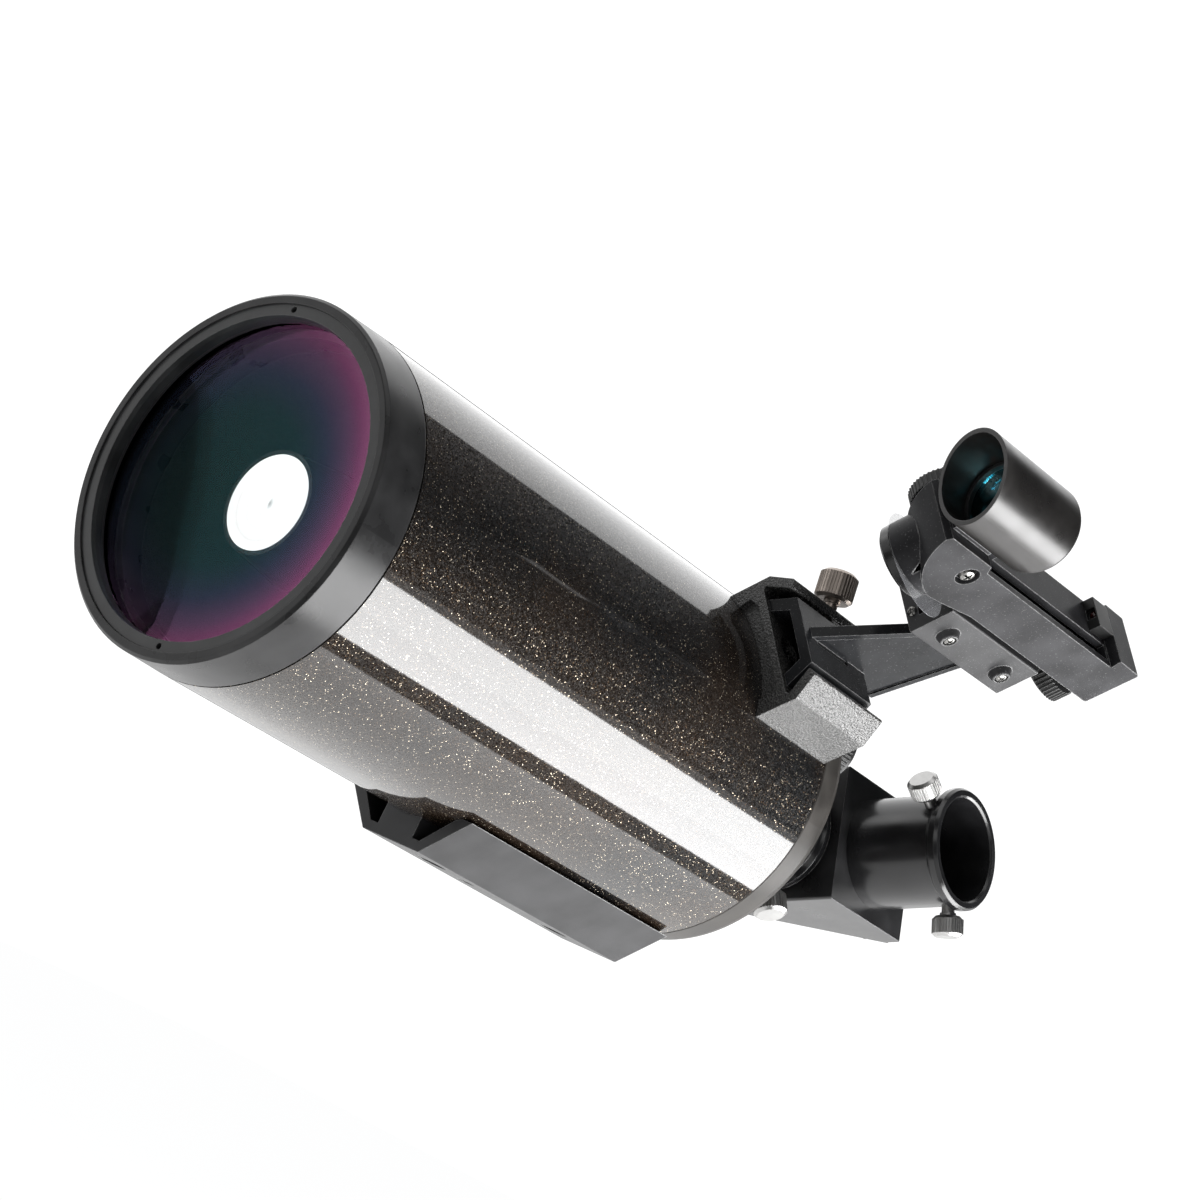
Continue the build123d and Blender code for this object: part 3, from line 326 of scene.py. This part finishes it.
finishes = {
    tube_paint(): ["main_tube"],
    plastic("cell_satin", (0.016, 0.016, 0.0165), 0.30, grain=0.22e-3, depth=0.012e-3,
            specular=0.20): ["front_cell"],
    plastic("ring_anodised", (0.020, 0.0205, 0.021), 0.36, specular=0.30,
            edge_highlight_paint=0.10): ["lens_retaining_ring", "window_ring"],
    plastic("rear_satin", (0.026, 0.024, 0.022), 0.38, grain=0.3e-3, specular=0.12,
            depth=0.020e-3): ["rear_cell"],
    plastic("block_satin", (0.020, 0.020, 0.021), 0.36, grain=0.25e-3, depth=0.014e-3,
            edge=0.45e-3, edge_highlight_paint=0.24, specular=0.20): ["dovetail_block"],
    wrinkle_paint(): ["finder_shoe"],
    plastic("gloss_anodised", (0.006, 0.006, 0.0065), 0.22, grain=0.5e-3, depth=0.002e-3,
            specular=0.42, edge_highlight_paint=0.06): ["visual_back", "eyepiece_holder"],
    plastic("box_satin", (0.009, 0.009, 0.0095), 0.32, grain=0.3e-3, depth=0.008e-3,
            specular=0.44, edge_highlight_paint=0.08): ["diagonal_housing", "diagonal_cover"],
    plastic("baffle_black", (0.006, 0.006, 0.006), 0.55): [
        "secondary_baffle", "primary_baffle_tube", "mirror_carrier"],
    plastic("knob_satin", (0.014, 0.014, 0.014), 0.36, edge_highlight_paint=0.04,
            specular=0.2): ["focus_knob"],
    plastic("finder_satin", (0.018, 0.018, 0.0195), 0.36, grain=0.34e-3, depth=0.034e-3,
            edge=0.5e-3, edge_highlight_paint=0.34, specular=0.08, dust=0.05): [
                "finder_body", "finder_yoke", "altitude_nut"],
    plastic("cradle_satin", (0.026, 0.026, 0.027), 0.38, grain=0.34e-3, depth=0.034e-3,
            edge=0.5e-3, edge_highlight_paint=0.34, specular=0.14, dust=0.05): ["finder_cradle"],
    plastic("drum_gloss", (0.007, 0.007, 0.0072), 0.24, specular=0.35,
            edge_highlight_paint=0.12): ["battery_cover"],
    plastic("bracket_gloss", (0.009, 0.0095, 0.0105), 0.20, grain=0.4e-3, depth=0.006e-3,
            edge_highlight_paint=0.34, specular=0.08, dust=0.04): ["finder_bracket"],
    plastic("wheel_gloss", (0.006, 0.006, 0.006), 0.30): [
        "azimuth_wheel", "altitude_wheel", "brightness_dial"],
    plastic("hood_satin", (0.014, 0.013, 0.0125), 0.32, grain=0.35e-3, depth=0.010e-3,
            specular=0.34, edge_highlight_paint=0.12): ["finder_hood"],
    plastic("led_black", (0.006, 0.006, 0.006), 0.35, specular=0.3,
            edge_highlight_paint=0.08): ["led_block"],
    metal("chrome_plate", (0.36, 0.357, 0.352), 0.34): [
        "visual_back_thumbscrew", "eyepiece_thumbscrew_upper", "eyepiece_thumbscrew_lower",
        "diagonal_nosepiece"],
    metal("nickel_warm", (0.30, 0.26, 0.23), 0.36): ["shoe_thumbscrew"],
    metal("screw_steel", (0.17, 0.167, 0.16), 0.26): [
        "dovetail_screws", "mounting_nuts", "shoe_screws", "cradle_screws", "azimuth_pin",
        "altitude_leaf_spring", "leaf_spring_screw", "pivot_screws", "focus_screw",
        "focus_washer", "focus_knob_screw", "baffle_screws", "diagonal_cover_screws"],
    metal("turned_brass", (0.66, 0.47, 0.20), 0.28): [
        "focus_nut", "focus_bush", "mirror_retaining_nut", "battery_contact"],
    metal("cell_steel", (0.72, 0.72, 0.71), 0.22): ["coin_cell"],
    corrector_coating(): ["meniscus_corrector"],
    window_glass_painted_reflections(): ["finder_window"],
    polished_mirror(): ["primary_mirror", "diagonal_mirror"],
    frosted_mirror(): ["secondary_spot"],
    clear_sheet(): ["battery_tab", "azimuth_washer"],
    circuit_green(): ["circuit_board"],
    clear_red(): ["led_emitter"],
    rubber(): ["lens_seal"],
}
for material, names in finishes.items():
    for name in names:
        mesh = nodes[name].data
        mesh.materials.clear()
        mesh.materials.append(material)

# ----------------------------------------------------------------------------------- camera

camera_data = bpy.data.cameras.new("camera")
camera = bpy.data.objects.new("camera", camera_data)
scene = bpy.context.scene
scene.collection.objects.link(camera)
bpy.context.scene.camera = camera

# Solved from the tube's edges and seams; the image is taken to be 1200 pixels wide.
IMAGE_WIDTH = 1200.0
FOCAL_LENGTH = 3539.22          # in pixels of that image
right = Vector((0.70123869, 0.55938737, 0.44198424))
ahead = Vector((-0.65901504, 0.74510636, 0.10254609))
above = right.cross(ahead)
turn = Matrix((right, above, -ahead)).transposed().to_4x4()
camera.matrix_world = Matrix.Translation((0.670357, -0.762537, -0.043496)) @ turn
camera_data.sensor_width = 36.0
camera_data.lens = camera_data.sensor_width * FOCAL_LENGTH / IMAGE_WIDTH
camera_data.shift_x = 0.0190
camera_data.shift_y = 0.0850
camera_data.clip_start, camera_data.clip_end = 0.01, 50.0

# -------------------------------------------------------------------------- stage and light

scene.view_settings.view_transform = "Standard"

floor_mesh = bpy.data.meshes.new("floor")
floor_mesh.from_pydata([(-9, -3, FLOOR), (9, -3, FLOOR), (9, 9, FLOOR), (-9, 9, FLOOR)],
                       [], [(0, 1, 2, 3)])
floor = bpy.data.objects.new("floor", floor_mesh)
scene.collection.objects.link(floor)
s = Shader("studio_floor")
s.principled(Base_Color=s.blend(s.noise(2, 2), (0.86, 0.86, 0.855), (0.89, 0.89, 0.885)),
             Roughness=0.7, Emission_Color=WHITE, Emission_Strength=0.95)
floor_mesh.materials.append(s.material)

world = bpy.data.worlds.new("studio")
scene.world = world
world.use_nodes = True
tree = world.node_tree
tree.nodes.clear()
output = tree.nodes.new("ShaderNodeOutputWorld")
seen = tree.nodes.new("ShaderNodeBackground")       # what the camera sees past the floor
seen.inputs["Color"].default_value = (*WHITE, 1)
seen.inputs["Strength"].default_value = 1.15
dim = tree.nodes.new("ShaderNodeBackground")        # what lights and reflects
dim.inputs["Color"].default_value = (0.9, 0.95, 1.0, 1)
dim.inputs["Strength"].default_value = 0.05
path = tree.nodes.new("ShaderNodeLightPath")
mix = tree.nodes.new("ShaderNodeMixShader")
tree.links.new(path.outputs["Is Camera Ray"], mix.inputs["Fac"])
tree.links.new(dim.outputs[0], mix.inputs[1])
tree.links.new(seen.outputs[0], mix.inputs[2])
tree.links.new(mix.outputs[0], output.inputs["Surface"])


def panel(name, at, turn, width, height, strength):
    """Soft box: an area light that the camera doesn't see."""
    data = bpy.data.lights.new(name, "AREA")
    data.shape = "RECTANGLE"
    data.size, data.size_y = width, height
    data.energy = strength * pi * width * height
    light = bpy.data.objects.new(name, data)
    scene.collection.objects.link(light)
    light.matrix_world = Matrix.Translation(at) @ turn.to_4x4()
    light.visible_camera = False


def square_panel(name, at, side, strength):
    """Soft box that faces the middle of the telescope."""
    aim = (Vector((0, 0, 0.05)) - Vector(at)).to_track_quat("-Z", "Y")
    panel(name, at, aim.to_matrix(), side, side, strength)


def along_tube(name, angle, spread, y_range, strength, distance=0.6):
    """Strip of light parallel to the tube, by its angle round the tube above +X."""
    y = sum(y_range) / 2
    outward = Vector((cos(radians(angle)), 0, sin(radians(angle))))
    lengthwise = Vector((0, 1, 0))
    across = lengthwise.cross(outward)
    panel(name, Vector((0, y, AXIS_HEIGHT)) + distance * outward,
          Matrix((across, lengthwise, outward)).transposed(),
          2 * distance * tan(radians(spread / 2)), y_range[1] - y_range[0], strength)


along_tube("strip_light", -30, 42, (0.15, 1.5), 18.0)
along_tube("top_light", 125, 60, (-0.6, 1.6), 1.8, distance=0.9)
square_panel("overhead", (0.2, -0.5, 1.5), 1.0, 2.0)
square_panel("front_key", (1.1, -1.3, 0.9), 0.7, 1.5)


def card(name, corners, strength):
    """Sheet that only reflections see: a soft box, or a dark flag."""
    mesh = bpy.data.meshes.new(name)
    mesh.from_pydata(corners, [], [tuple(range(len(corners)))])
    sheet = bpy.data.objects.new(name, mesh)
    scene.collection.objects.link(sheet)
    s = Shader(name)
    s.principled(Base_Color=(0.0, 0.0, 0.0), Roughness=1.0, Specular_IOR_Level=0.0,
                 Emission_Color=WHITE, Emission_Strength=strength)
    mesh.materials.append(s.material)
    sheet.visible_camera = sheet.visible_diffuse = sheet.visible_shadow = False


def seen_from_lens(azimuth, elevation, distance=1.3):
    """Point at an angle to the left of the telescope's line of sight and above it."""
    a, e = radians(azimuth), radians(elevation)
    return Vector((0, LENS_FRONT_Y, AXIS_HEIGHT)) + distance * Vector(
        (-sin(a) * cos(e), -cos(a) * cos(e), sin(e)))


card("left_softbox", [seen_from_lens(*corner) for corner in
                      ((-15, -22), (24, -4), (31, 7), (36, 14), (46, 21), (60, 30),
                       (80, 38), (86, -22))], 1.55)
card("left_wall", [seen_from_lens(*corner, 2.6) for corner in
                   ((-45, -9), (-45, 45), (45, 45), (45, -9))], 0.40)
flag_height = FLOOR + 0.004
card("floor_flag", [(0.27, -2.9, flag_height), (0.8, -2.9, flag_height),
                    (0.8, 8.9, flag_height), (0.27, 8.9, flag_height)], 0.0)
